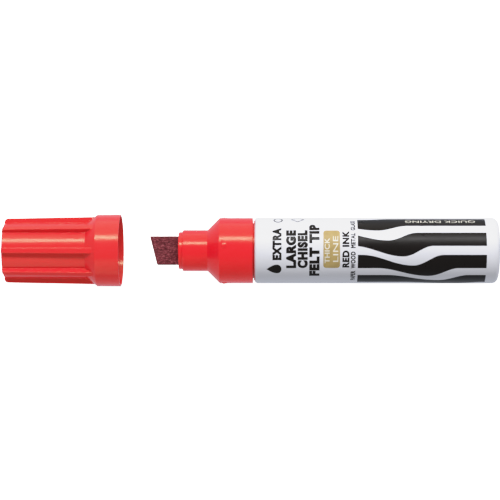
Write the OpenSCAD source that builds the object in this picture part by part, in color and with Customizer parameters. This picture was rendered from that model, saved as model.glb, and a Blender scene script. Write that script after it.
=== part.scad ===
// Jumbo felt tip marker, shown lying down with its cap pulled off.
//
// The marker lies along X: the cap is at the -X end, the nib points at it,
// and the barrel runs to the +X end. Cap and marker share one axis. The
// origin is under the middle of the whole layout, on the surface that the
// rim of the cap rests on. Millimetres, +Z up.

/* [Barrel] */
// Outside diameter of the barrel and of the nose piece's grip
barrel_d = 22.0; // [20:0.5:24]
// Length of the barrel
barrel_len = 81.2; // [60:0.2:110]
// Thickness of the barrel's metal wall
barrel_wall = 0.4; // [0.3:0.05:0.6]
// Radius of the rounded corner around the closed end
barrel_end_round = 1.9; // [0.6:0.1:3]
// Radius of the rolled edge at the open end
barrel_curl = 1.0; // [0.8:0.1:1.4]

/* [Nose piece] */
// Length of the recessed neck between the grip and the barrel
neck_len = 0.7; // [0.5:0.1:1.5]
// Depth of the recessed neck below the grip
neck_depth = 0.9; // [0.7:0.05:2]
// Length of the grip, the wide cylinder that the cap snaps over
grip_len = 11.25; // [9.8:0.05:15]
// Diameter of the narrow cylinder that holds the nib
holder_d = 13.84; // [12.8:0.02:14]
// Length of the narrow cylinder
holder_len = 8.4; // [6:0.1:12]
// Diameter of the lip around the nib
lip_d = 12.5; // [11.6:0.1:12.8]
// Length of the lip around the nib
lip_len = 1.25; // [0.8:0.05:2]
// Height of the four snap nubs above the grip
nub_height = 0.35; // [0.2:0.01:0.37]

/* [Nib] */
// Width of the felt slab
nib_w = 9.7; // [8:0.1:9.8]
// Thickness of the felt slab
nib_t = 5.0; // [3:0.1:5.2]
// How far the long corner of the nib stands out of the lip
nib_reach = 9.65; // [6:0.05:11]
// How far back the short corner of the slanted writing edge lies
nib_slant = 2.45; // [0:0.05:4]

/* [Cap] */
// Length of the cap
cap_len = 39.2; // [38:0.2:46]
// Thickness of the collar's wall at the rim
rim_wall = 0.73; // [0.6:0.01:1.5]
// Length of the collar at the open end
collar_len = 7.9; // [7:0.1:10]
// Diameter over the ribs at the closed end
rib_tip_d = 21.6; // [20:0.1:23]
// Diameter over the ribs at the collar
rib_root_d = 22.7; // [21:0.1:23.6]
// Diameter over the panels between the ribs, at the closed end
panel_d = 18.6; // [18:0.1:19.2]
// Number of ribs
rib_count = 8; // [4:1:12]
// Distance from the rim of the pulled-off cap to the nib
cap_gap = 9.89; // [0:0.01:40]

/* [Hidden] */
$fn = 96;
// Extra length that carries a cut clear through a face
cut = 1;
// Clearance of a loose fit between two still pieces
fit = 0.05;

// Places along X, from the closed end of the barrel to that of the cap.
barrel_r = barrel_d / 2;
holder_r = holder_d / 2;
cone_len = barrel_r - holder_r;
overall_len = barrel_len + neck_len + grip_len + cone_len + holder_len + lip_len + nib_reach
  + cap_gap + cap_len;
barrel_back_x = overall_len / 2;
barrel_front_x = barrel_back_x - barrel_len;
grip_back_x = barrel_front_x - neck_len;
grip_front_x = grip_back_x - grip_len;
holder_back_x = grip_front_x - cone_len;
holder_front_x = holder_back_x - holder_len;
lip_front_x = holder_front_x - lip_len;
nib_tip_x = lip_front_x - nib_reach;
rim_x = nib_tip_x - cap_gap;
cap_end_x = rim_x - cap_len;

// The bore of the cap clears the snap nubs. The rim around it is the widest
// part, so it sets the height of the shared axis.
nub_clearance = 0.07;
bore_r = barrel_r + nub_height + nub_clearance;
rim_r = bore_r + rim_wall;
axis_z = rim_r;

// Inside of the barrel, and the flange that the rolled edge traps.
barrel_inner_r = barrel_r - barrel_wall;
neck_r = barrel_r - neck_depth;
mouth_clearance = 0.1;
mouth_r = neck_r + mouth_clearance;
lip_back_x = barrel_front_x + barrel_wall;
gasket_len = 0.8;
flange_x = lip_back_x + gasket_len;
flange_len = 2;
flange_r = barrel_inner_r - fit;
spigot_len = 5;
spigot_inset = 0.6;
spigot_r = barrel_inner_r - spigot_inset;
spigot_back_x = flange_x + flange_len + spigot_len;

// Rounded edges of the nose piece.
lip_round = 0.4;
holder_round = 0.5;
grip_round = 0.25;
spigot_round = 0.3;

// Hollow of the nose piece, behind the web of solid plastic that grips the
// nib: a cone that ends this far inside the grip, then a bore.
hollow_cone_reach = 4.2;
nose_wall = 0.9;
nose_cone_wall = 1;
nose_web_len = 3;
nose_web_x = holder_back_x + nose_web_len;
nose_hollow_r = neck_r - nose_wall;
nose_hollow_x = grip_front_x + hollow_cone_reach;

// Nib tail and the reservoir that feeds it.
nib_tail_len = 5;
reservoir_gap = 0.5;
reservoir_x = spigot_back_x + reservoir_gap;
reservoir_back_gap = 1.5;
reservoir_back_x = barrel_back_x - barrel_wall - reservoir_back_gap;
film_wall = 0.15;
film_gap = 0.15;
film_r = barrel_inner_r - film_gap;
reservoir_r = film_r - film_wall;
nib_tail_x = reservoir_x + nib_tail_len;
nib_tail_chamfer = 1;
nib_edge_round = 0.35;

// Snap nubs: short rounded beads, half sunk into the grip.
nub_r = 0.42;
nub_len = 1.85;
nub_back_from_front = 1.65;
nub_count = 4;
nub_angle = 9.5;

// Cap: the bore runs over the nubs, then a cone follows the nose's cone.
collar_draft = 0.1;
collar_r = rim_r - collar_draft;
collar_x = rim_x - collar_len;
collar_round = 1;
shoulder_len = 3.5;
shoulder_x = collar_x - shoulder_len;
panel_end_r = panel_d / 2;
panel_draft = 0.15;
panel_root_r = panel_end_r + panel_draft;
bore_len = 8;
bore_x = rim_x - bore_len;
panel_wall = 1.2;
cap_core_r = panel_end_r - panel_wall;
cap_end_wall = 1.5;
cap_core_end_x = cap_end_x + cap_end_wall;
cap_end_round = 1.2;
panel_end_round = 0.5;
rim_round = 0.25;
rib_end_w = 1.6;
rib_root_w = 1.95;

// Inner cap: a cup that seals around the holder when the cap is on. Its
// mouth stops short of the cap's bore.
inner_cap_r = cap_core_r - fit;
seal_clearance = 0.08;
inner_cap_bore_r = holder_r + seal_clearance;
inner_cap_depth = 12.6;
inner_cap_mouth_x = rim_x - inner_cap_depth;
inner_cap_end_x = cap_core_end_x + fit;
inner_cap_end_wall = 1;
inner_cap_round = 0.5;
inner_cap_lead = 0.35;

// Points of an arc around centre c, from angle a0 to angle a1.
function arc(c, r, a0, a1, steps = 6) = [
  for (i = [0:steps]) c + r * [cos(a0 + (a1 - a0) * i / steps), sin(a0 + (a1 - a0) * i / steps)]
];

// Turns a profile drawn as [place along X, radius] around the marker's axis.
module turned() {
  translate([0, 0, axis_z])
    rotate([0, 90, 0])
      rotate_extrude()
        mirror([1, -1, 0])
          children();
}

// Profile of a round bar from x0 to x1, with rounded corners.
module bar(x0, x1, r, round0 = 0, round1 = 0) {
  start = round0 > 0 ? arc([x0 + round0, r - round0], round0, 180, 90) : [[x0, r]];
  end = round1 > 0 ? arc([x1 - round1, r - round1], round1, 90, 0) : [[x1, r]];
  polygon(concat([[x0, 0]], start, end, [[x1, 0]]));
}

// Slab centred on the axis, from x0 to x1, w wide across Y and t thick.
module slab(x0, x1, w, t) {
  translate([x0, -w / 2, axis_z - t / 2]) cube([x1 - x0, w, t]);
}

// Drawn tube, closed at the back, its front edge rolled inwards.
module barrel() {
  color("whitesmoke")
    turned()
      difference() {
        bar(barrel_front_x, barrel_back_x, barrel_r, barrel_curl, barrel_end_round);
        bar(lip_back_x, barrel_back_x - barrel_wall, barrel_inner_r,
          barrel_curl - barrel_wall, barrel_end_round - barrel_wall);
        bar(barrel_front_x - cut, lip_back_x + cut, mouth_r);
      }
}

// Outline of the nose piece, from the lip to the spigot inside the barrel.
module nose_profile() {
  bar(lip_front_x, holder_front_x + cut, lip_d / 2, lip_round);
  bar(holder_front_x, grip_front_x, holder_r, holder_round);
  polygon([
    [holder_back_x, 0],
    [holder_back_x, holder_r],
    [grip_front_x, barrel_r],
    [grip_front_x, 0]
  ]);
  bar(grip_front_x, grip_back_x, barrel_r, 0, grip_round);
  bar(grip_back_x - cut, flange_x + cut, neck_r);
  bar(flange_x, flange_x + flange_len, flange_r);
  bar(flange_x, spigot_back_x, spigot_r, 0, spigot_round);
}

module nose_hollow_profile() {
  polygon([
    [nose_web_x, 0],
    [nose_web_x, holder_r - nose_cone_wall],
    [nose_hollow_x, nose_hollow_r],
    [spigot_back_x + cut, nose_hollow_r],
    [spigot_back_x + cut, 0]
  ]);
}

module snap_nub(angle) {
  centre_r = barrel_r + nub_height - nub_r;
  straight = nub_len - 2 * nub_r;
  translate([grip_front_x + nub_back_from_front, 0, axis_z])
    rotate([-angle, 0, 0])
      translate([0, 0, centre_r]) {
        rotate([0, 90, 0]) cylinder(r = nub_r, h = straight, center = true, $fn = 32);
        for (side = [-1, 1])
          translate([side * straight / 2, 0, 0]) sphere(r = nub_r, $fn = 32);
      }
}

// Slot for the nib, with an air channel beside each of its flat faces.
module nib_slot() {
  channel_w = 1.6;
  channel_depth = 0.5;
  slab(lip_front_x - cut, nose_hollow_x, nib_w + fit, nib_t + fit);
  slab(lip_front_x - cut, nose_hollow_x, channel_w, nib_t + 2 * channel_depth);
}

module nose_piece() {
  color("crimson")
    difference() {
      union() {
        turned() nose_profile();
        for (i = [0:nub_count - 1])
          snap_nub(nub_angle + i * 360 / nub_count);
      }
      turned() nose_hollow_profile();
      nib_slot();
    }
}

// Felt slab with a slanted writing edge and softened corners.
module nib() {
  half = nib_w / 2;
  tip_round = nib_edge_round;
  slant_angle = atan2(nib_slant, nib_w - 2 * tip_round);
  short_x = nib_tip_x + nib_slant;
  color("maroon")
    translate([0, 0, axis_z - nib_t / 2])
      linear_extrude(nib_t)
        polygon(concat(
          arc([nib_tip_x + tip_round, half - tip_round], tip_round, 90, 180 + slant_angle),
          arc([short_x + tip_round, tip_round - half], tip_round, 180 + slant_angle, 270),
          [
            [nib_tail_x - nib_tail_chamfer, -half],
            [nib_tail_x, nib_tail_chamfer - half],
            [nib_tail_x, half - nib_tail_chamfer],
            [nib_tail_x - nib_tail_chamfer, half]
          ]
        ));
}

// Pocket in the front of the reservoir that the tail of the nib pushes into.
module ink_reservoir() {
  color("dimgray")
    difference() {
      turned() bar(reservoir_x, reservoir_back_x, reservoir_r);
      slab(reservoir_x - cut, nib_tail_x + fit, nib_w + fit, nib_t + fit);
    }
}

// Thin plastic film wrapped around the reservoir, open at both ends.
module reservoir_film() {
  color("lightgray")
    turned()
      difference() {
        bar(reservoir_x, reservoir_back_x, film_r);
        bar(reservoir_x - cut, reservoir_back_x + cut, reservoir_r);
      }
}

// Soft ring squeezed between the rolled edge and the nose piece's flange.
module mouth_gasket() {
  color("black")
    turned()
      difference() {
        bar(lip_back_x + fit, flange_x - fit, flange_r, barrel_curl - barrel_wall);
        bar(lip_back_x - cut, flange_x + cut, neck_r + fit);
      }
}

// Outside of the cap without its ribs.
module cap_shell_profile() {
  slope = atan2(collar_r - panel_root_r, shoulder_len);
  tangent = collar_round * tan(slope / 2);
  polygon(concat(
    [[cap_end_x, 0]],
    arc([cap_end_x + panel_end_round, panel_end_r - panel_end_round], panel_end_round, 180, 90),
    [[shoulder_x, panel_root_r]],
    arc([collar_x + tangent, collar_r - collar_round], collar_round, 90 + slope, 90),
    arc([rim_x - rim_round, rim_r - rim_round], rim_round, 90, 0),
    [[rim_x, 0]]
  ));
}

// Cone that the outer faces of the ribs lie on, rounded at the closed end.
module rib_envelope_profile() {
  polygon(concat(
    [[cap_end_x, 0]],
    arc([cap_end_x + cap_end_round, rib_tip_d / 2 - cap_end_round], cap_end_round, 180, 90),
    [[collar_x, rib_root_d / 2]],
    [[collar_x, 0]]
  ));
}

module rib(angle) {
  translate([0, 0, axis_z])
    rotate([angle, 0, 0])
      linear_extrude(rim_r)
        polygon([
          [cap_end_x - cut, -rib_end_w / 2],
          [collar_x, -rib_root_w / 2],
          [collar_x, rib_root_w / 2],
          [cap_end_x - cut, rib_end_w / 2]
        ]);
}

// Inside of the cap: bore, cone and the deep core that holds the inner cap.
module cap_hollow_profile() {
  bar(bore_x, rim_x + cut, bore_r);
  polygon([
    [bore_x - (bore_r - cap_core_r), 0],
    [bore_x - (bore_r - cap_core_r), cap_core_r],
    [bore_x, bore_r],
    [bore_x, 0]
  ]);
  bar(cap_core_end_x, bore_x, cap_core_r);
}

module cap() {
  color("red")
    difference() {
      union() {
        turned() cap_shell_profile();
        intersection() {
          turned() rib_envelope_profile();
          union() {
            for (i = [0:rib_count - 1])
              rib(i * 360 / rib_count);
          }
        }
      }
      turned() cap_hollow_profile();
    }
}

// Cup inside the cap, its mouth flared to find the holder.
module inner_cap() {
  color("white")
    turned()
      difference() {
        bar(inner_cap_end_x, inner_cap_mouth_x, inner_cap_r, inner_cap_round);
        bar(inner_cap_end_x + inner_cap_end_wall, inner_cap_mouth_x + cut, inner_cap_bore_r,
          inner_cap_round);
        polygon([
          [inner_cap_mouth_x - inner_cap_lead, 0],
          [inner_cap_mouth_x - inner_cap_lead, inner_cap_bore_r],
          [inner_cap_mouth_x + cut, inner_cap_bore_r + inner_cap_lead + cut],
          [inner_cap_mouth_x + cut, 0]
        ]);
      }
}

barrel();
nose_piece();
nib();
ink_reservoir();
reservoir_film();
mouth_gasket();
cap();
inner_cap();
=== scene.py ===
"""Looks of the jumbo felt tip marker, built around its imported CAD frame.

The marker lies along X with its cap pulled off towards -X, and the printed side of the
barrel faces up. Profiles are written in millimetres as (place along X, radius) and are
turned around the shared axis of the cap and the barrel.
"""
import math

import bmesh
import bpy
from mathutils import Matrix, Vector, noise


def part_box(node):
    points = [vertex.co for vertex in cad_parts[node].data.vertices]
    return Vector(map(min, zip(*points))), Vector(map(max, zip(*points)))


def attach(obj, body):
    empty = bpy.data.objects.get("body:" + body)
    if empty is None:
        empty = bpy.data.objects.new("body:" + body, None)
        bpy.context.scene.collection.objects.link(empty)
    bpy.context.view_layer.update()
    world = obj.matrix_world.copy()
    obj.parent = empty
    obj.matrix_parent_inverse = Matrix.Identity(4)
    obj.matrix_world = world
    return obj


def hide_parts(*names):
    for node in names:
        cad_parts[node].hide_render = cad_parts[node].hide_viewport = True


MM = 0.001
TURNS = 256

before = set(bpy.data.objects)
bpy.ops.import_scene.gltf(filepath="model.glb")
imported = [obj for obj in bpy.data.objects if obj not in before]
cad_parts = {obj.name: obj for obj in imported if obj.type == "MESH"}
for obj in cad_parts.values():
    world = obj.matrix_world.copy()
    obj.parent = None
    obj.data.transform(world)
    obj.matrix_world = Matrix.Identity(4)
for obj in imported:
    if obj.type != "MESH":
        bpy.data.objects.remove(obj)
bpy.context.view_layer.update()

# Places that the frame gives, in millimetres.
barrel_low, barrel_high = (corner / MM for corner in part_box("barrel"))
nose_low, nose_high = (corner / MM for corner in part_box("nose_piece"))
nib_low, nib_high = (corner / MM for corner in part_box("nib"))
cap_low, cap_high = (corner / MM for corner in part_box("cap"))
cup_low, cup_high = (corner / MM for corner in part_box("inner_cap"))
AXIS_Z = (barrel_low.z + barrel_high.z) / 2
BARREL_R = (barrel_high.z - barrel_low.z) / 2
CUP_R = (cup_high.z - cup_low.z) / 2
NIB_W = nib_high.y - nib_low.y
NIB_T = nib_high.z - nib_low.z
RIM_R = (cap_high.z - cap_low.z) / 2

# An outline that closes on the axis stops short of it at this radius.
POLE_R = 0.5

# Barrel. Its rolled front edge bulges a little past the plain tube of the CAD.
EDGE_BULGE = 0.2
BARREL_FRONT = barrel_low.x - EDGE_BULGE
WALL = 0.4
CURL = 1.0
END_ROUND = 1.9

# Nose piece. A narrow groove parts its grip from its neck.
NECK_DEPTH = 0.9
NECK_R = BARREL_R - NECK_DEPTH
NECK_LEN = 0.6
GROOVE_DEPTH = 0.8
GROOVE_R = NECK_R - GROOVE_DEPTH
GROOVE_LEN = 0.32
GRIP_LEN = 11.15
HOLDER_R = 6.92
LIP_R = 6.25
LIP_LEN = 1.25
LIP_CHAMFER = 0.12
FLANGE_LEN = 2.0
SEAL_ROOM = 1.0
NUB_PLACE = 1.65
NUB_COUNT = 4
NUB_HEIGHT = 0.35
NUB_SUNK = 0.1
NUB_DIP = 0.13
NUB_HALF_LEN = 1.15
NUB_HALF_W = 1.5
NUB_TURN = math.radians(9.5)
SLOT_GAP = 0.05
CHANNEL_HALF_W = 0.8
CHANNEL_DEPTH = 0.5
GRIP_BACK = BARREL_FRONT - NECK_LEN
GRIP_FRONT = GRIP_BACK - GRIP_LEN
HOLDER_BACK = GRIP_FRONT - (BARREL_R - HOLDER_R)
HOLDER_FRONT = nose_low.x + LIP_LEN

# Nib.
NIB_SLANT = 2.45
NIB_ROUND = 0.35
FELT_SINK = 0.03

# Cap.
RIB_COUNT = 8
RIB_TIP_R = 10.8
RIB_ROOT_R = 11.35
RIB_TIP_W = 1.6
RIB_ROOT_W = 1.95
RIB_END_ROUND = 1.2
RIB_CORNER = 0.2
RIB_FOOT = 0.12
RIB_DRAFT = 0.03
PANEL_R = 9.3
PANEL_TAPER = 0.15
END_FACE_R = 8.0
COLLAR_LEN = 7.9
SHOULDER_LEN = 3.5
COLLAR_START = cap_high.x - COLLAR_LEN
SHOULDER_START = COLLAR_START - SHOULDER_LEN
RIM_ROUND = 0.22
RIM_CHAMFER = 0.35
BORE_R = 11.42
BORE_START = cap_high.x - 8.0
MOUTH_FLARE = 0.24
MOUTH_FLARE_LEN = 2.6
CORE_R = CUP_R + 0.05
CAP_FLOOR = 1.5
CUP_FLOOR = 1.0
CUP_GAP = 0.08

# Print on the barrel.
INK_RISE = 0.012
STRIPE_COUNT = 9
STRIPE_START = 35.65
STRIPE_END = 78.2
STRIPE_HALF_TURN = math.radians(12.2)
STRIPE_SHIFT = math.radians(0.4)
WAVE_PLACE = 52.45
WAVE_WIND = 12.0
WAVE_FALL = 17.0
WAVE_RISE = 10.0
WAVE_DEPTH = 0.30
WAVE_LEAST_DEPTH = 0.035
WAVE_LEAN = 0.17


# --- outlines ---------------------------------------------------------------------------

def rounded(corners, steps=7):
    """A polyline through (x, r, round) corners, each rounded by an arc of that radius."""
    line = []
    last = len(corners) - 1
    for i, (x, r, radius) in enumerate(corners):
        here = Vector((x, r))
        if radius == 0 or i in (0, last):
            line.append(here)
            continue
        back = (Vector(corners[i - 1][:2]) - here).normalized()
        ahead = (Vector(corners[i + 1][:2]) - here).normalized()
        half = back.angle(ahead) / 2
        reach = radius / math.tan(half)
        centre = here + (back + ahead).normalized() * (radius / math.sin(half))
        first = here + back * reach - centre
        turn = first.angle_signed(here + ahead * reach - centre)
        for k in range(steps + 1):
            arm = first.copy()
            arm.rotate(Matrix.Rotation(-turn * k / steps, 2))
            line.append(centre + arm)
    return line


def supported(line, gap=0.06):
    """The same line, with a point near each end of its long straight stretches.

    The extra points keep the smooth shading of a rounded edge out of the flat beside it.
    """
    out = [line[0]]
    for a, b in zip(line, line[1:]):
        length = (b - a).length
        if length > 4 * gap:
            out.append(a.lerp(b, gap / length))
            out.append(b.lerp(a, gap / length))
        out.append(b)
    return out


def even_turns(count=TURNS):
    """Angles around the axis, from +Z towards +Y."""
    return [2 * math.pi * i / count for i in range(count)]


def on_axis(x, r, turn):
    """The point at radius r and angle turn from +Z towards +Y, in metres."""
    return Vector((x, r * math.sin(turn), AXIS_Z + r * math.cos(turn))) * MM


# --- meshes -----------------------------------------------------------------------------

def shells(bm):
    """The faces of each connected shell of a bmesh."""
    left = set(bm.faces)
    while left:
        shell = [left.pop()]
        for face in shell:
            for other in {f for edge in face.edges for f in edge.link_faces} & left:
                left.discard(other)
                shell.append(other)
        yield shell


def face_outward(bm):
    """Makes every shell of a bmesh face away from its own solid."""
    bmesh.ops.recalc_face_normals(bm, faces=bm.faces)
    bm.normal_update()
    for shell in shells(bm):
        volume = sum(f.calc_center_median().dot(f.normal) * f.calc_area() for f in shell)
        if volume < 0:
            bmesh.ops.reverse_faces(bm, faces=shell)


def finish_piece(bm, name, body, node, material, sharp=40):
    """Turns a bmesh into a named piece that rides on a body and wears a material.

    Edges sharper than sharp degrees keep a crease. The piece replaces a CAD node, if one
    is given.
    """
    face_outward(bm)
    mesh = bpy.data.meshes.new(name)
    bm.to_mesh(mesh)
    bm.free()
    mesh.shade_smooth()
    mesh.set_sharp_from_angle(angle=math.radians(sharp))
    piece = bpy.data.objects.new(name, mesh)
    bpy.context.scene.collection.objects.link(piece)
    mesh.materials.append(material)
    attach(piece, body)
    if node:
        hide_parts(node)
    return piece


def tube(bm, rings, looped=False):
    """Joins rings of points, all of one length, and returns their vertices in rows."""
    rows = [[bm.verts.new(p) for p in ring] for ring in rings]
    count = len(rows[0])
    pairs = list(zip(rows, rows[1:]))
    if looped:
        pairs.append((rows[-1], rows[0]))
    for a, b in pairs:
        for i in range(count):
            j = (i + 1) % count
            bm.faces.new((a[i], a[j], b[j], b[i]))
    return rows


def skin(rings, looped=False):
    """A closed surface through rings of points: looped, or with a fan at each end."""
    bm = bmesh.new()
    rows = tube(bm, rings, looped)
    count = len(rows[0])
    if not looped:
        for row in (rows[0], rows[-1]):
            centre = bm.verts.new(sum((v.co for v in row), Vector()) / count)
            for i in range(count):
                bm.faces.new((row[i], row[(i + 1) % count], centre))
    return bm


def turned_rings(line, turns):
    """Rings around the axis through the points of an outline that has no point on it."""
    return [[on_axis(p.x, p.y, t) for t in turns] for p in line]


# --- barrel -----------------------------------------------------------------------------

def barrel_tube(material):
    """Thin drawn tube: closed, rounded back and a front edge rolled in over the neck."""
    front, back = BARREL_FRONT, barrel_high.x
    inner_r = BARREL_R - WALL
    mouth_r = NECK_R + 0.1
    below_mouth = mouth_r - WALL
    outside = rounded([
        (back, POLE_R, 0), (back, BARREL_R, END_ROUND), (front, BARREL_R, CURL),
        (front, below_mouth, 0)
    ], 12)
    inside = rounded([
        (front + WALL, below_mouth, 0), (front + WALL, inner_r, CURL - WALL),
        (back - WALL, inner_r, END_ROUND - WALL), (back - WALL, POLE_R, 0)
    ], 8)
    outside, inside = (
        [p for p in line if p.y > mouth_r or p.x > back - END_ROUND] for line in (outside, inside)
    )
    bm = skin(turned_rings(supported(outside) + supported(inside), even_turns()))
    return finish_piece(bm, "barrel_tube", "marker", "barrel", material)


def stripe_edge(base, x):
    """Angle of a stripe's edge at x: straight, but for one wave that winds around."""
    trough = WAVE_PLACE - WAVE_WIND * base
    depth = WAVE_LEAST_DEPTH + WAVE_DEPTH * math.cos(base + WAVE_LEAN)
    away = (x - trough) / (WAVE_RISE if x > trough else WAVE_FALL)
    return base - depth * (1 + math.cos(math.pi * min(1, abs(away)))) / 2


def stripe(index, material):
    """One printed stripe: a film of ink that follows the barrel between two edges."""
    middle = 2 * math.pi / STRIPE_COUNT * (index - 1.5) + STRIPE_SHIFT
    along, across = 170, 24
    rings = []
    for i in range(along + 1):
        x = STRIPE_START + (STRIPE_END - STRIPE_START) * i / along
        low = stripe_edge(middle - STRIPE_HALF_TURN, x)
        high = stripe_edge(middle + STRIPE_HALF_TURN, x)
        turns = [low + (high - low) * j / across for j in range(across + 1)]
        outer = [on_axis(x, BARREL_R + INK_RISE, t) for t in turns]
        inner = [on_axis(x, BARREL_R - INK_RISE, t) for t in reversed(turns)]
        rings.append(outer + inner)
    bm = bmesh.new()
    rows = tube(bm, rings)
    for row in (rows[0], rows[-1]):
        for k in range(across):
            bm.faces.new((row[k], row[k + 1], row[-2 - k], row[-1 - k]))
    return finish_piece(bm, f"stripe_{index + 1}", "marker", None, material)


# --- print ------------------------------------------------------------------------------

def wrap_on_barrel(bm, x, turn, facing="around", film=None):
    """Bends a print, drawn in millimetres around its own centre, onto the barrel.

    It is cut into strips, so that it can follow the round surface. facing is "around" when
    it reads around the barrel towards +Y, and "back" when it reads along the barrel towards
    the cap. A flat drawing is given the thickness of a film.
    """
    strip = 0.4
    reach = max(abs(c) for v in bm.verts for c in v.co[:2]) + strip
    normal = Vector((1, 0, 0)) if facing == "around" else Vector((0, 1, 0))
    for k in range(-int(reach / strip), int(reach / strip) + 1):
        bmesh.ops.bisect_plane(bm, geom=bm.verts[:] + bm.edges[:] + bm.faces[:], dist=1e-5,
                               plane_co=normal * k * strip, plane_no=normal)
    if film:
        bmesh.ops.solidify(bm, geom=bm.faces[:], thickness=film)
        middle = sum(v.co.z for v in bm.verts) / len(bm.verts)
        for v in bm.verts:
            v.co.z -= middle
    for v in bm.verts:
        depth = BARREL_R + v.co.z
        if facing == "around":
            v.co = on_axis(x - v.co.y, depth, turn + v.co.x / BARREL_R)
        else:
            v.co = on_axis(x - v.co.x, depth, turn - v.co.y / BARREL_R)


def lettering(name, text, x, turn, height, width, material, weight, facing="around",
              rise=INK_RISE):
    """A line of plain lettering of a given cap height and width, printed on the barrel.

    weight is how far the strokes of the plain letters are swollen, as a share of their
    size, and rise is how far the film of ink stands out.
    """
    mesh = text_mesh(name, text, weight)
    bm = bmesh.new()
    bm.from_mesh(mesh)
    bpy.data.meshes.remove(mesh)
    low = [min(v.co[a] for v in bm.verts) for a in range(3)]
    high = [max(v.co[a] for v in bm.verts) for a in range(3)]
    for v in bm.verts:
        share = [(v.co[a] - low[a]) / (high[a] - low[a]) - 0.5 for a in range(3)]
        v.co = (share[0] * width, share[1] * height, share[2] * 2 * rise)
    bmesh.ops.remove_doubles(bm, verts=bm.verts, dist=1e-4)
    wrap_on_barrel(bm, x, turn, facing)
    return finish_piece(bm, name, "marker", None, material)


def text_mesh(name, text, weight):
    """The mesh of a line of plain lettering with swollen strokes, at any size."""
    curve = bpy.data.curves.new(name, "FONT")
    curve.body = text
    curve.align_x = "CENTER"
    curve.extrude = 0.001
    curve.bevel_depth = weight
    curve.bevel_resolution = 1
    curve.space_character = 1 + 2 * weight
    curve.resolution_u = 6
    flat = bpy.data.objects.new(name, curve)
    bpy.context.scene.collection.objects.link(flat)
    bpy.context.view_layer.update()
    mesh = bpy.data.meshes.new_from_object(flat.evaluated_get(
        bpy.context.evaluated_depsgraph_get()))
    bpy.data.objects.remove(flat)
    bpy.data.curves.remove(curve)
    return mesh


def flat_shape(name, outline, x, turn, material, rise=INK_RISE, stroke=None):
    """A flat printed shape on the barrel, from its outline in millimetres.

    It is filled, or is only a line along its outline when it has a stroke.
    """
    bm = bmesh.new()
    verts = [bm.verts.new((px, py, 0)) for px, py in outline]
    if stroke:
        span = max(math.hypot(px, py) for px, py in outline)
        inner = [bm.verts.new(v.co * (1 - stroke / span)) for v in verts]
        for i in range(len(verts)):
            j = (i + 1) % len(verts)
            bm.faces.new((verts[i], verts[j], inner[j], inner[i]))
    else:
        bm.faces.new(verts)
    wrap_on_barrel(bm, x, turn, film=2 * rise)
    return finish_piece(bm, name, "marker", None, material)


def rounded_box(width, height, radius, steps=8):
    """Outline of a rectangle with rounded corners, around its own centre."""
    points = []
    for quarter in range(4):
        cx = (width / 2 - radius) * (1 if quarter in (0, 3) else -1)
        cy = (height / 2 - radius) * (1 if quarter in (0, 1) else -1)
        for k in range(steps + 1):
            a = math.pi / 2 * (quarter + k / steps)
            points.append((cx + radius * math.cos(a), cy + radius * math.sin(a)))
    return points


def drop(size, steps=48):
    """Outline of an ink drop with its point up."""
    wide, tall, pointed = 0.75 * size, 0.8 * size, 1.2
    points = []
    for k in range(steps):
        a = 2 * math.pi * k / steps
        points.append((wide * math.sin(a) * math.sin(a / 2) ** pointed, tall * math.cos(a)))
    return points


# --- nose piece -------------------------------------------------------------------------

def slot_radius(turn):
    """Radius of the nib's slot, with its two air channels, in the direction turn."""
    across = max(1e-6, abs(math.sin(turn)))
    upward = max(1e-6, abs(math.cos(turn)))

    def box(half_y, half_z):
        return min(half_y / across, half_z / upward)

    slot = box((NIB_W + SLOT_GAP) / 2, (NIB_T + SLOT_GAP) / 2)
    return max(slot, box(CHANNEL_HALF_W, NIB_T / 2 + CHANNEL_DEPTH))


def nose_shell(material):
    """Lip, nib holder, cone, grip, neck and the flange and spigot inside the barrel."""
    flange = BARREL_FRONT + WALL + SEAL_ROOM
    flange_r = BARREL_R - WALL - 0.05
    spigot_r = BARREL_R - WALL - 0.6
    hollow_r = NECK_R - 0.9
    hollow_front = GRIP_FRONT + 4.2
    web = HOLDER_BACK + 3
    outside = rounded([
        (nose_low.x, LIP_R - 0.3, 0), (nose_low.x, LIP_R, 0.28), (HOLDER_FRONT, LIP_R, 0.12),
        (HOLDER_FRONT, HOLDER_R, 0.45), (HOLDER_BACK, HOLDER_R, 0.25),
        (GRIP_FRONT, BARREL_R, 0.3), (GRIP_BACK, BARREL_R, 0.06), (GRIP_BACK, GROOVE_R, 0.05),
        (GRIP_BACK + GROOVE_LEN, GROOVE_R, 0.05), (GRIP_BACK + GROOVE_LEN, NECK_R, 0.05),
        (flange, NECK_R, 0), (flange, flange_r, 0), (flange + FLANGE_LEN, flange_r, 0),
        (flange + FLANGE_LEN, spigot_r, 0), (nose_high.x, spigot_r, 0.3),
        (nose_high.x, hollow_r, 0), (hollow_front, hollow_r, 0), (web, HOLDER_R - 1, 0)
    ])
    turns = even_turns()
    rings = turned_rings(supported(outside), turns)
    for x in (web, nose_low.x + 1.0, nose_low.x + 0.15):
        rings.append([on_axis(x, slot_radius(t), t) for t in turns])
    rings.append([on_axis(nose_low.x, slot_radius(t) + LIP_CHAMFER, t) for t in turns])
    bm = skin(rings, looped=True)
    return finish_piece(bm, "nose_shell", "marker", "nose_piece", material)


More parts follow.
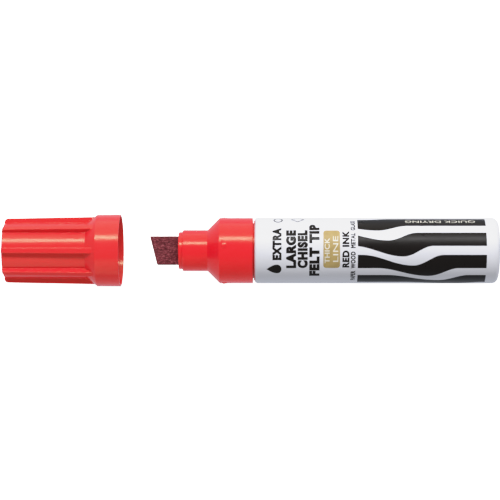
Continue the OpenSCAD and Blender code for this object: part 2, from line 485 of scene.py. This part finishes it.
def snap_nub(index, material):
    """A low oval dome with a shallow dip across its top, sunk into the grip."""
    turn = NUB_TURN + index * 2 * math.pi / NUB_COUNT
    middle = GRIP_FRONT + NUB_PLACE
    levels = 14
    dip_place, dip_len = 0.3, 0.35
    rings = []
    for level in range(levels):
        spread = 1 - level / levels
        dome = 1 - spread ** 2
        ring = []
        for around in even_turns(48):
            lengthwise = NUB_HALF_LEN * spread * math.cos(around)
            sideways = NUB_HALF_W * spread * math.sin(around)
            dip = NUB_DIP * math.exp(-((lengthwise - dip_place) / dip_len) ** 2)
            rise = (NUB_HEIGHT + NUB_SUNK - dip) * dome - NUB_SUNK
            ring.append(on_axis(middle + lengthwise, BARREL_R + rise, turn + sideways / BARREL_R))
        rings.append(ring)
    return finish_piece(skin(rings), f"snap_nub_{index + 1}", "marker", None, material)


# --- nib --------------------------------------------------------------------------------

def nib_section(scale_y, scale_z, count=176):
    """Points around the nib's rounded rectangular section, shrunk towards its centre.

    Each is the point of the section that is nearest to a point of an ellipse around it.
    """
    around = 1.6
    reach_y = NIB_W / 2 - NIB_ROUND
    reach_z = NIB_T / 2 - NIB_ROUND
    points = []
    for turn in even_turns(count):
        outer = Vector((math.sin(turn) * NIB_W, math.cos(turn) * NIB_T)) * around / 2
        core = Vector((max(-reach_y, min(reach_y, outer.x)), max(-reach_z, min(reach_z, outer.y))))
        point = core + (outer - core).normalized() * NIB_ROUND
        points.append((point.x * scale_y, point.y * scale_z))
    return points


def nib_point(y, z, along):
    """A point of the nib: along is 0 on the slanted writing edge and 1 at the tail."""
    tip = nib_low.x + NIB_SLANT * (0.5 - y / NIB_W)
    return Vector((tip + (nib_high.x - tip) * along, y, AXIS_Z + z))


def felt_roughness(point):
    """How far pressed fibres stand out of the nib's face at a point, in millimetres."""
    lengthwise = Vector((point.x * 2.2, point.y * 5.5, point.z * 5.5))
    fibres = noise.fractal(lengthwise, 1.0, 2.0, 4, noise_basis="PERLIN_ORIGINAL")
    pits = max(0, noise.noise(point * 7.0) - 0.25)
    return 0.022 * fibres - 0.03 * pits


def felt_nib(material):
    """Pressed felt slab with a slanted writing edge, soft corners and a fibrous face.

    Only the part that shows, and a little more, is divided finely.
    """
    face_steps, round_steps, side_steps = 30, 5, 120
    face_share, side_start, side_share, tail = 0.96, 0.012, 0.29, 0.97
    rings = []
    for k in range(1, face_steps):
        share = face_share * k / face_steps
        rings.append([nib_point(y, z, 0) for y, z in nib_section(share, share)])
    for k in range(1, round_steps + 1):
        a = math.pi / 2 * k / round_steps
        inset = NIB_ROUND * (1 - math.sin(a))
        back = NIB_ROUND * (1 - math.cos(a)) / (nib_high.x - nib_low.x)
        section = nib_section(1 - inset / (NIB_W / 2), 1 - inset / (NIB_T / 2))
        rings.append([nib_point(y, z, back) for y, z in section])
    for k in range(1, side_steps + 1):
        along = side_start + side_share * k / side_steps
        rings.append([nib_point(y, z, along) for y, z in nib_section(1, 1)])
    rings.append([nib_point(y, z, tail) for y, z in nib_section(1, 1)])
    rings.append([nib_point(y, z, 1) for y, z in nib_section(0.85, 0.8)])
    bm = skin(rings)
    bmesh.ops.recalc_face_normals(bm, faces=bm.faces)
    bm.normal_update()
    for v in bm.verts:
        if v.co.x < nose_low.x + 1.5:
            v.co += v.normal * (felt_roughness(v.co) - FELT_SINK)
    for v in bm.verts:
        v.co *= MM
    return finish_piece(bm, "felt_nib", "marker", "nib", material, 60)


# --- cap --------------------------------------------------------------------------------

def cap_outline():
    """The outside of the cap between its ribs, from the closed end to the rim."""
    return rounded([
        (cap_low.x, END_FACE_R, 0), (cap_low.x, PANEL_R, 0.5),
        (SHOULDER_START, PANEL_R + PANEL_TAPER, 0.3), (COLLAR_START, RIM_R - 0.1, 0.5),
        (cap_high.x, RIM_R, RIM_ROUND), (cap_high.x, BORE_R + RIM_CHAMFER, 0)
    ], 8)


def outline_radius(line, x):
    """Radius of an outline at x."""
    for a, b in zip(line, line[1:]):
        if a.x <= x <= b.x and b.x > a.x:
            return a.y + (b.y - a.y) * (x - a.x) / (b.x - a.x)
    return line[-1].y


def rib_radius(x):
    """Radius of the outer face of the ribs at x, rounded off at the closed end."""
    share = (x - cap_low.x) / (COLLAR_START - cap_low.x)
    radius = RIB_TIP_R + (RIB_ROOT_R - RIB_TIP_R) * share
    depth = min(RIB_END_ROUND, max(0, RIB_END_ROUND - (x - cap_low.x)))
    return radius - RIB_END_ROUND + math.sqrt(RIB_END_ROUND ** 2 - depth ** 2)


def rib_section(x, base):
    """Half a pitch of the cap's section, as (radius, angle) from the middle of a rib.

    Where the rib sinks into the shoulder, its points keep their spread sideways.
    """
    share = (x - cap_low.x) / (COLLAR_START - cap_low.x)
    half_w = (RIB_TIP_W + (RIB_ROOT_W - RIB_TIP_W) * min(1, share)) / 2
    rise = max(0, rib_radius(x) - base)
    corner = min(RIB_CORNER, rise * 0.45)
    foot = min(RIB_FOOT, rise * 0.45)
    quarter = [math.pi / 2 * k / 5 for k in range(6)]
    side = [((half_w - RIB_CORNER) * k / 4, base + rise) for k in range(4)]
    for a in quarter:
        side.append((half_w - RIB_CORNER * (1 - math.sin(a)), base + rise - corner * (1 - math.cos(a))))
    for share in (1 / 3, 2 / 3):
        lift = (rise - corner - foot) * (1 - share)
        side.append((half_w + RIB_DRAFT * share, base + foot + lift))
    for a in quarter:
        across = half_w + RIB_DRAFT + RIB_FOOT * (1 - math.cos(a))
        side.append((across, base + foot * (1 - math.sin(a))))
    polar = [(r, math.atan2(t, r)) for t, r in side]
    last_turn = polar[-1][1]
    pitch = math.pi / RIB_COUNT
    for k in range(1, 9):
        polar.append((base, last_turn + (pitch - last_turn) * k / 8))
    return polar


def cap_ring(x, base):
    """A closed ring of points around the outside of the cap at x."""
    half = rib_section(x, base)
    full = [(r, -t) for r, t in half[:0:-1]] + half[:-1]
    ring = []
    for i in range(RIB_COUNT):
        middle = 2 * math.pi * i / RIB_COUNT
        ring += [on_axis(x, r, middle + t) for r, t in full]
    return ring


def ring_turns(ring):
    """The angle around the axis of each point of a ring."""
    return [math.atan2(p.y, p.z - AXIS_Z * MM) for p in ring]


def cap_stations(line, rim_start):
    """Places along the outside of the cap, from its closed end to the rounding of its rim."""
    rib_start = cap_low.x + 1.3
    rib_end = next(x / 100 for x in range(int(SHOULDER_START * 100), int(COLLAR_START * 100))
                   if outline_radius(line, x / 100) >= rib_radius(x / 100))
    places = {max(cap_low.x, round(p.x, 4)) for p in line if p.y > END_FACE_R}
    places |= {cap_low.x + RIB_END_ROUND * (1 - math.cos(math.pi / 2 * k / 10)) for k in range(11)}
    places |= {rib_start + (SHOULDER_START - rib_start) * k / 12 for k in range(13)}
    places |= {SHOULDER_START + (rib_end - SHOULDER_START) * k / 14 for k in range(15)}
    places |= {SHOULDER_START - 0.4, SHOULDER_START + 0.35, COLLAR_START + 0.6}
    places |= {cap_high.x - 3, cap_high.x - 0.3}
    return sorted(x for x in places if x <= rim_start)


def cap_shell(material):
    """Ribbed cap with a smooth collar, hollow down to the seat of the inner cap."""
    line = cap_outline()
    rim_start = cap_high.x - RIM_ROUND + 1e-4
    stations = cap_stations(line, rim_start)
    rings = [cap_ring(x, outline_radius(line, x)) for x in stations]
    end_radius = outline_radius(line, stations[0] + 1e-6)
    rings.insert(0, [p.lerp(Vector((cap_low.x, 0, AXIS_Z)) * MM, 0.06) for p in rings[0]])
    for share in (0.8, 0.4):
        rings.insert(0, [on_axis(cap_low.x, end_radius * share, t) for t in ring_turns(rings[0])])
    turns = ring_turns(rings[-1])
    rim = [p for p in line if p.x > rim_start]
    floor = cap_low.x + CAP_FLOOR
    inside = rounded([
        (cap_high.x, BORE_R + RIM_CHAMFER, 0), (cap_high.x - 0.1, BORE_R + MOUTH_FLARE, 0.1),
        (cap_high.x - MOUTH_FLARE_LEN, BORE_R, 2.0), (BORE_START, BORE_R, 0.4),
        (BORE_START - BORE_R + CORE_R, CORE_R, 0.3), (floor, CORE_R, 0), (floor, 2, 0)
    ])
    rings += turned_rings(rim[:-1] + supported(inside), turns)
    return finish_piece(skin(rings), "cap_shell", "cap", "cap", material, 50)


def inner_cup(material):
    """The inner cap: a plain cup with a flared mouth."""
    bore = HOLDER_R + CUP_GAP
    floor = cup_low.x + CUP_FLOOR
    line = rounded([
        (cup_low.x, POLE_R, 0), (cup_low.x, CUP_R, 0.5), (cup_high.x, CUP_R, 0.1),
        (cup_high.x, bore + 0.3, 0.08), (cup_high.x - 0.35, bore, 0.1), (floor, bore, 0.5),
        (floor, POLE_R, 0)
    ])
    bm = skin(turned_rings(supported(line), even_turns(160)))
    return finish_piece(bm, "inner_cup", "cap", "inner_cap", material)


# --- materials --------------------------------------------------------------------------

class Look:
    """A node material under construction, around one Principled shader."""

    def __init__(self, name, color, roughness, **sockets):
        self.material = bpy.data.materials.new(name)
        self.material.use_nodes = True
        self.nodes = self.material.node_tree.nodes
        self.links = self.material.node_tree.links
        self.shader = self.nodes["Principled BSDF"]
        self.shader.inputs["Base Color"].default_value = (*color, 1)
        self.shader.inputs["Roughness"].default_value = roughness
        for socket, value in sockets.items():
            self.shader.inputs[socket.replace("_", " ")].default_value = value
        self.place = self.nodes.new("ShaderNodeTexCoord").outputs["Object"]

    def stretched(self, scale):
        """Object coordinates scaled along each axis."""
        mapping = self.nodes.new("ShaderNodeMapping")
        mapping.inputs["Scale"].default_value = scale
        self.links.new(self.place, mapping.inputs["Vector"])
        return mapping.outputs["Vector"]

    def grain(self, scale, detail=3.0, roughness=0.5, along=(1, 1, 1)):
        """A noise field with features of about 1 / scale metres."""
        node = self.nodes.new("ShaderNodeTexNoise")
        node.inputs["Scale"].default_value = scale
        node.inputs["Detail"].default_value = detail
        node.inputs["Roughness"].default_value = roughness
        self.links.new(self.stretched(along), node.inputs["Vector"])
        return node.outputs["Fac"]

    def spread(self, field, low, high, socket):
        """Maps a field to a range of values on one of the shader's sockets."""
        node = self.nodes.new("ShaderNodeMapRange")
        node.inputs["From Min"].default_value = 0.3
        node.inputs["From Max"].default_value = 0.7
        node.inputs["To Min"].default_value = low
        node.inputs["To Max"].default_value = high
        self.links.new(field, node.inputs["Value"])
        self.links.new(node.outputs["Result"], self.shader.inputs[socket])

    def tint(self, field, stops):
        """Colours a field through a ramp of (place, colour) stops as the base colour."""
        ramp = self.nodes.new("ShaderNodeValToRGB")
        elements = ramp.color_ramp.elements
        while len(elements) < len(stops):
            elements.new(0.5)
        for element, (place, color) in zip(elements, stops):
            element.position = place
            element.color = (*color, 1)
        self.links.new(field, ramp.inputs["Fac"])
        self.links.new(ramp.outputs["Color"], self.shader.inputs["Base Color"])

    def bump(self, field, depth, strength=1.0):
        """Raises the surface by a field, to a depth in metres."""
        node = self.nodes.new("ShaderNodeBump")
        node.inputs["Strength"].default_value = strength
        node.inputs["Distance"].default_value = depth
        self.links.new(field, node.inputs["Height"])
        self.links.new(node.outputs["Normal"], self.shader.inputs["Normal"])


def shade(color, factor):
    """A colour made darker or lighter by a factor."""
    return tuple(c * factor for c in color)


def red_plastic(name, color, roughness):
    """Glossy injection-moulded plastic that glows a little in its own shade."""
    look = Look(name, color, roughness, IOR=1.45, Subsurface_Weight=0.1,
                Subsurface_Radius=(1.0, 0.05, 0.04), Subsurface_Scale=0.002,
                Specular_Tint=(1.0, 0.95, 0.6, 1), Specular_IOR_Level=0.55)
    look.tint(look.grain(160, detail=3), [(0.3, shade(color, 0.96)), (0.7, color)])
    look.spread(look.grain(420, detail=4), roughness * 0.85, roughness * 1.2, "Roughness")
    look.bump(look.grain(800, detail=2), depth=0.0000006, strength=0.4)
    return look.material


def barrel_paint():
    """Satin white enamel over metal, with a trace of orange peel."""
    color = (0.60, 0.61, 0.685)
    look = Look("white_enamel", color, 0.34, IOR=1.45)
    look.tint(look.grain(90, detail=2), [(0.3, shade(color, 0.985)), (0.7, color)])
    look.spread(look.grain(300, detail=3), 0.3, 0.4, "Roughness")
    look.bump(look.grain(900, detail=2), depth=0.000003, strength=0.5)
    return look.material


def print_ink(name, color, roughness, gloss=0.5):
    """Screen-printed ink: a flat film that is a little uneven where it dried."""
    look = Look(name, color, roughness, IOR=1.45, Specular_IOR_Level=gloss)
    look.tint(look.grain(500, detail=4), [(0.35, shade(color, 0.92)), (0.65, shade(color, 1.06))])
    look.spread(look.grain(260, detail=3), roughness * 0.9, roughness * 1.15, "Roughness")
    look.bump(look.grain(1500, detail=2), depth=0.000002, strength=0.4)
    return look.material


def felt():
    """Pressed wool felt soaked with red ink: dark, speckled and matt."""
    dark, mid, pale = (0.050, 0.0037, 0.0075), (0.112, 0.0125, 0.020), (0.27, 0.063, 0.078)
    look = Look("inked_felt", mid, 0.9, IOR=1.4)
    speckle = look.grain(2100, detail=5, roughness=0.8, along=(0.6, 1, 1))
    fibres = look.grain(3200, detail=4, roughness=0.7, along=(0.45, 1, 1))
    look.tint(speckle, [(0.4, dark), (0.5, mid), (0.62, pale)])
    look.spread(look.grain(1200, detail=3), 0.8, 1.0, "Roughness")
    look.bump(fibres, depth=0.00006, strength=0.8)
    return look.material


def soft_plastic(name, color, roughness):
    """Plain moulded plastic or rubber that is hardly seen."""
    look = Look(name, color, roughness, IOR=1.48)
    look.tint(look.grain(300, detail=3), [(0.3, shade(color, 0.93)), (0.7, color)])
    look.bump(look.grain(900, detail=2), depth=0.000005, strength=0.5)
    return look.material


def fibre():
    """Bundled fibre of the ink reservoir, soaked red."""
    look = Look("reservoir_fibre", (0.2, 0.02, 0.03), 0.85)
    strands = look.grain(1500, detail=4, roughness=0.6, along=(0.04, 1, 1))
    look.tint(strands, [(0.3, (0.12, 0.01, 0.015)), (0.7, (0.35, 0.06, 0.07))])
    look.bump(strands, depth=0.0001, strength=0.7)
    return look.material


def clear_film():
    """Thin milky wrap around the reservoir."""
    look = Look("film_wrap", (0.85, 0.86, 0.88), 0.25, Alpha=0.6)
    look.bump(look.grain(400, detail=3), depth=0.00002, strength=0.6)
    return look.material


# --- scene ------------------------------------------------------------------------------

def pale_floor():
    """A wide, plain white table top, lit from below like a light table."""
    bm = bmesh.new()
    bmesh.ops.create_grid(bm, x_segments=12, y_segments=12, size=1.5)
    mesh = bpy.data.meshes.new("table_top")
    bm.to_mesh(mesh)
    bm.free()
    floor = bpy.data.objects.new("table_top", mesh)
    bpy.context.scene.collection.objects.link(floor)
    look = Look("white_table", (0.9, 0.9, 0.9), 0.9)
    look.shader.inputs["Specular IOR Level"].default_value = 0
    look.shader.inputs["Emission Color"].default_value = (1, 1, 1, 1)
    look.shader.inputs["Emission Strength"].default_value = 1.5
    look.tint(look.grain(6, detail=2), [(0.3, (0.88, 0.88, 0.88)), (0.7, (0.9, 0.9, 0.9))])
    mesh.materials.append(look.material)
    floor.visible_glossy = False
    floor.visible_diffuse = False


def softbox(name, lean, distance, size, radiance, x=0.0):
    """A rectangular light over the place x, aimed at it.

    It leans from straight above by lean degrees towards +Y. The first of its two sizes
    lies along X.
    """
    light = bpy.data.lights.new(name, "AREA")
    light.shape = "RECTANGLE"
    light.size, light.size_y = size
    light.energy = radiance * math.pi * size[0] * size[1]
    lamp = bpy.data.objects.new(name, light)
    aim = Vector((0, math.sin(math.radians(lean)), math.cos(math.radians(lean))))
    lamp.location = Vector((x, 0, AXIS_Z * MM)) + aim * distance
    lamp.rotation_euler = aim.to_track_quat("Z", "Y").to_euler()
    bpy.context.scene.collection.objects.link(lamp)
    return lamp


def plastic_glow(pieces):
    """Red light that reaches only the red plastic, on the side away from the key.

    It stands in for light that enters the translucent plastic and wanders around inside.
    """
    glow = softbox("plastic_glow", lean=-85, distance=0.8, size=(1.4, 1.2), radiance=0.75)
    glow.data.color = (1.0, 0.03, 0.03)
    glow.visible_glossy = False
    receivers = bpy.data.collections.new("red_plastic_pieces")
    for piece in pieces:
        receivers.objects.link(piece)
    glow.light_linking.receiver_collection = receivers


def pale_room():
    """Surroundings that are bright and cool low down, and darker and neutral high up."""
    low, low_colour = 0.35, (0.66, 0.71, 0.80, 1)
    high, high_colour = 0.65, (0.45, 0.44, 0.41, 1)
    world = bpy.data.worlds.new("pale_room")
    world.use_nodes = True
    nodes = world.node_tree.nodes
    links = world.node_tree.links
    place = nodes.new("ShaderNodeTexCoord")
    height = nodes.new("ShaderNodeSeparateXYZ")
    centred = nodes.new("ShaderNodeMapRange")
    centred.inputs["From Min"].default_value = -1
    room = nodes.new("ShaderNodeValToRGB")
    room.color_ramp.elements[0].position = low
    room.color_ramp.elements[0].color = low_colour
    room.color_ramp.elements[1].position = high
    room.color_ramp.elements[1].color = high_colour
    links.new(place.outputs["Generated"], height.inputs["Vector"])
    links.new(height.outputs["Z"], centred.inputs["Value"])
    links.new(centred.outputs["Result"], room.inputs["Fac"])
    links.new(room.outputs["Color"], nodes["Background"].inputs["Color"])
    bpy.context.scene.world = world


def studio():
    """Soft studio light: one long strip, a wide warm panel beside it and a weak fill."""
    softbox("key_strip", lean=42.5, distance=0.7, size=(1.4, 0.14), radiance=13.4, x=0.15)
    panel = softbox("side_panel", lean=82, distance=0.9, size=(1.6, 1.0), radiance=0.92)
    panel.data.color = (1.0, 0.94, 0.78)
    softbox("fill_panel", lean=-55, distance=0.9, size=(0.8, 0.85), radiance=0.8, x=-0.5)


def tone():
    """Rolls off the whites, which a plain view would clip."""
    view = bpy.context.scene.view_settings
    view.view_transform = "Standard"
    view.look = "None"
    view.use_curve_mapping = True
    mapping = view.curve_mapping
    mapping.white_level = (1.6, 1.6, 1.6)
    brightness = mapping.curves[3]
    for light, shown in ((0.3125, 0.5), (0.44, 0.685), (0.58, 0.845), (0.80, 0.905)):
        brightness.points.new(light, shown)
    mapping.update()


def camera():
    """Looks down at the middle of the layout from a little way over the barrel."""
    distance = 0.624
    sideways = 0.0094
    aim_x = -0.00017
    view_width = 0.1682
    data = bpy.data.cameras.new("camera")
    data.sensor_width = 36
    data.lens = data.sensor_width * distance / view_width
    data.clip_start = 0.01
    data.shift_y = 0.0012
    eye = bpy.data.objects.new("camera", data)
    eye.location = (sideways, 0, AXIS_Z * MM + distance)
    eye.rotation_euler.y = math.atan((sideways - aim_x) / distance)
    bpy.context.scene.collection.objects.link(eye)
    bpy.context.scene.camera = eye


# --- marker -----------------------------------------------------------------------------

def printing(black):
    """Plain generic lettering and shapes, in black, gold, white and grey ink."""
    gold = print_ink("gold_ink", (0.36, 0.265, 0.105), roughness=0.4, gloss=0.3)
    white = print_ink("white_ink", (0.62, 0.6, 0.54), roughness=0.4)
    grey = print_ink("grey_ink", (0.10, 0.10, 0.105), roughness=0.4, gloss=0.2)
    upright = math.radians(3)
    lettering("print_size_word", "EXTRA", 8.9, math.radians(13), 3.0, 11.4, black, 0.07)
    flat_shape("print_drop", drop(3.1), 7.9, math.radians(-34), black)
    lettering("print_word_1", "LARGE", 13.6, upright, 3.4, 13.4, black, 0.075)
    lettering("print_word_2", "CHISEL", 17.4, upright, 3.4, 13.4, black, 0.075)
    lettering("print_word_3", "FELT TIP", 21.3, math.radians(1), 3.4, 19.4, black, 0.075)
    flat_shape("print_badge", rounded_box(13.2, 5.5, 1.0), 27.0, upright, gold, 0.008)
    lettering("print_badge_1", "THICK", 25.5, 0, 1.7, 8.6, white, 0.02)
    lettering("print_badge_2", "LINE", 28.3, upright, 1.7, 8.8, white, 0.0)
    lettering("print_colour_word", "RED INK", 31.7, upright, 2.3, 12.9, black, 0.055)
    lettering("print_uses", "PAPER  WOOD  METAL  GLASS", 34.1, 0, 1.6, 24.2, black, 0.05)
    ring = [(1.6 * math.cos(a), 1.6 * math.sin(a)) for a in even_turns(48)]
    flat_shape("print_ring", ring, 9.3, math.radians(66.5), grey, stroke=0.5)
    diamond = [(2.0, 0), (0, 2.4), (-2.0, 0), (0, -2.4)]
    flat_shape("print_diamond", diamond, 15.8, math.radians(69.5), grey, stroke=0.6)
    lettering("print_dry_note", "QUICK DRYING", 63.2, math.radians(61.5), 1.7, 23.2, white,
              0.0, facing="back", rise=2 * INK_RISE)


def inside_pieces():
    """Gives the CAD pieces inside the barrel, which keep their shape, their materials."""
    rubber = soft_plastic("black_rubber", (0.02, 0.02, 0.02), roughness=0.7)
    looks = {"ink_reservoir": fibre(), "reservoir_film": clear_film(), "mouth_gasket": rubber}
    for node, material in looks.items():
        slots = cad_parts[node].data.materials
        slots.clear()
        slots.append(material)


def build():
    """Makes every piece of the marker and its cap."""
    red = red_plastic("red_plastic", (0.70, 0.010, 0.023), roughness=0.2)
    cap_red = red_plastic("cap_red_plastic", (0.66, 0.018, 0.028), roughness=0.2)
    black = print_ink("black_ink", (0.0060, 0.0046, 0.0046), roughness=0.30, gloss=0.17)
    barrel_tube(barrel_paint())
    for index in range(STRIPE_COUNT):
        stripe(index, black)
    red_pieces = [nose_shell(red), cap_shell(cap_red)]
    red_pieces += [snap_nub(index, red) for index in range(NUB_COUNT)]
    plastic_glow(red_pieces)
    felt_nib(felt())
    inner_cup(soft_plastic("natural_plastic", (0.75, 0.74, 0.7), roughness=0.45))
    printing(black)
    inside_pieces()


camera()
studio()
pale_room()
pale_floor()
build()
tone()
